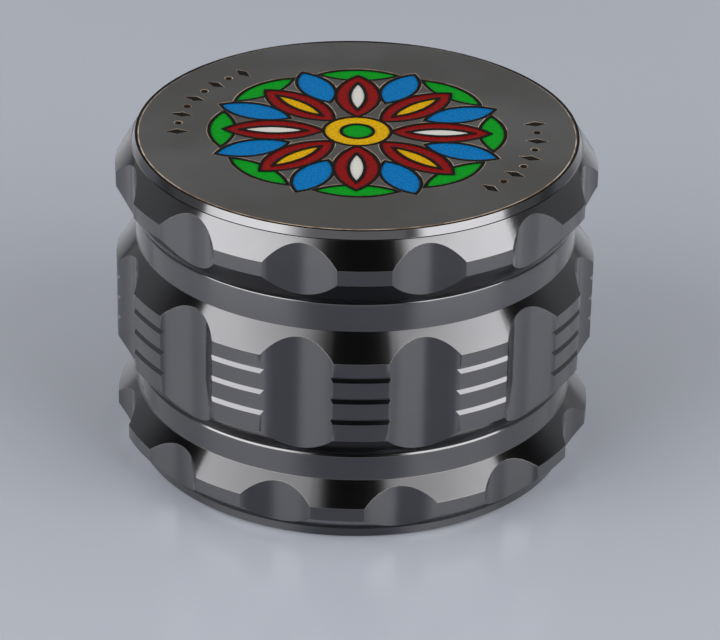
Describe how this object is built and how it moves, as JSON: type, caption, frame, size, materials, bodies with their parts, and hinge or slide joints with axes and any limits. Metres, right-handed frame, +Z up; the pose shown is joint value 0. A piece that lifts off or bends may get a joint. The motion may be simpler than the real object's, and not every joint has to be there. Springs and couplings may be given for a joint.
{
  "type": "hand grinder",
  "caption": "Round four-part hand grinder with fluted grip, toothed chamber, sieve, catch base and inlaid enamel disc on a magnetic lid.",
  "frame": {"origin": "centre of the foot, on the surface the grinder stands on", "axes": "+Z up along the axis that every section turns about, towards the lid's enamel disc; the side seen first faces -Y"},
  "size_m": [0.063, 0.063, 0.0439],
  "materials": {
    "gunmetal": "satin gunmetal plating",
    "seal_polymer": "matte",
    "steel": "bright spring steel",
    "mesh": "woven wire",
    "nickel": "bright nickel plate",
    "adhesive": "matte film",
    "disc_metal": "fine matte grey",
    "enamel_black": "satin enamel",
    "enamel_red": "satin stippled enamel",
    "enamel_blue": "satin stippled enamel",
    "enamel_green": "satin stippled enamel",
    "enamel_yellow": "satin stippled enamel",
    "enamel_white": "satin enamel"
  },
  "bodies": {
    "base": {"catch_base": "gunmetal"},
    "base_ring": {"base_seal": "seal_polymer"},
    "sieve_section": {"stash_chamber": "gunmetal", "sieve_frame": "steel", "sieve_mesh": "mesh", "sieve_snap_ring": "steel"},
    "chamber_ring": {"chamber_seal": "seal_polymer"},
    "chamber": {"grinding_chamber": "gunmetal", "chamber_magnet": "nickel"},
    "lid_ring": {"glide_ring": "seal_polymer"},
    "lid": {"lid": "gunmetal", "lid_magnet": "nickel", "disc_adhesive": "adhesive", "top_disc": "disc_metal", "enamel_black": "enamel_black", "enamel_red": "enamel_red", "enamel_blue": "enamel_blue", "enamel_green": "enamel_green", "enamel_yellow": "enamel_yellow", "enamel_white": "enamel_white"}
  },
  "joints": [
    {"name": "sieve_section_rise", "type": "slide", "parent": "base", "child": "base_ring", "axis": [0, 0, 1], "range_m": [0, 0.005]},
    {"name": "sieve_section_unscrew", "type": "hinge", "parent": "base_ring", "child": "sieve_section", "pos_m": [0, 0, 0.012], "axis": [0, 0, 1], "range_deg": [0, 900]},
    {"name": "chamber_rise", "type": "slide", "parent": "sieve_section", "child": "chamber_ring", "axis": [0, 0, 1], "range_m": [0, 0.005]},
    {"name": "chamber_unscrew", "type": "hinge", "parent": "chamber_ring", "child": "chamber", "pos_m": [0, 0, 0.03], "axis": [0, 0, 1], "range_deg": [0, 900]},
    {"name": "lid_lift", "type": "slide", "parent": "chamber", "child": "lid_ring", "axis": [0, 0, 1], "range_m": [0, 0.03]},
    {"name": "lid_spin", "type": "hinge", "parent": "lid_ring", "child": "lid", "pos_m": [0, 0, 0.034], "axis": [0, 0, 1], "continuous": true}
  ],
  "couplings": [
    {"joint": "sieve_section_rise", "follows": "sieve_section_unscrew", "m_per_rad": 0.0003183},
    {"joint": "chamber_rise", "follows": "chamber_unscrew", "m_per_rad": 0.0003183}
  ]
}
